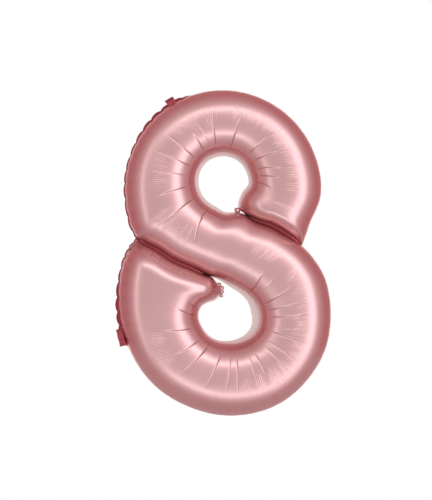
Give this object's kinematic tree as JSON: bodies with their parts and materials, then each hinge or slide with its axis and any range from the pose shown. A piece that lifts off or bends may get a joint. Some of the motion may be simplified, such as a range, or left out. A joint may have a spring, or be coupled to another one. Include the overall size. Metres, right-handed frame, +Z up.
{
  "type": "foil number balloon",
  "caption": "Inflated foil numeral-eight balloon: one long S-shaped tube of welded rose film with a folding inflation tail, self-sealing valve and hang tab.",
  "frame": {"origin": "centre of the hang hole in the tab on the upper loop, on the tab's middle plane, as the balloon hangs", "axes": "+Z up along the numeral's height, +X to the right seen from the front, the front faces -Y"},
  "size_m": [0.5759, 0.1804, 0.8734],
  "materials": {
    "rose_foil": "satin metallised rose-pink film",
    "valve_film": "clear soft film"
  },
  "bodies": {
    "envelope": {"front_panel": "rose_foil", "back_panel": "rose_foil", "valve_front_film": "valve_film"},
    "valve_flap": {"valve_back_film": "valve_film"},
    "tail": {"tail_front_film": "rose_foil", "tail_back_film": "rose_foil", "valve_mouth_front_film": "valve_film", "valve_mouth_back_film": "valve_film"},
    "hang_tab": {"hang_tab_front_film": "rose_foil", "hang_tab_back_film": "rose_foil"}
  },
  "joints": [
    {"name": "tail_fold", "type": "hinge", "parent": "envelope", "child": "tail", "pos_m": [-0.12923, -0.00983, -0.62687], "axis": [-0.2504, 0, 0.9681], "range_deg": [-12, 172]},
    {"name": "tab_fold", "type": "hinge", "parent": "envelope", "child": "hang_tab", "pos_m": [0.00354, -0.00983, -0.0059], "axis": [0.8572, 0, 0.515], "range_deg": [-45, 150]},
    {"name": "valve_open", "type": "hinge", "parent": "envelope", "child": "valve_flap", "pos_m": [-0.11955, -0.00963, -0.62437], "axis": [-0.2504, 0, 0.9681], "range_deg": [0, 8]}
  ]
}
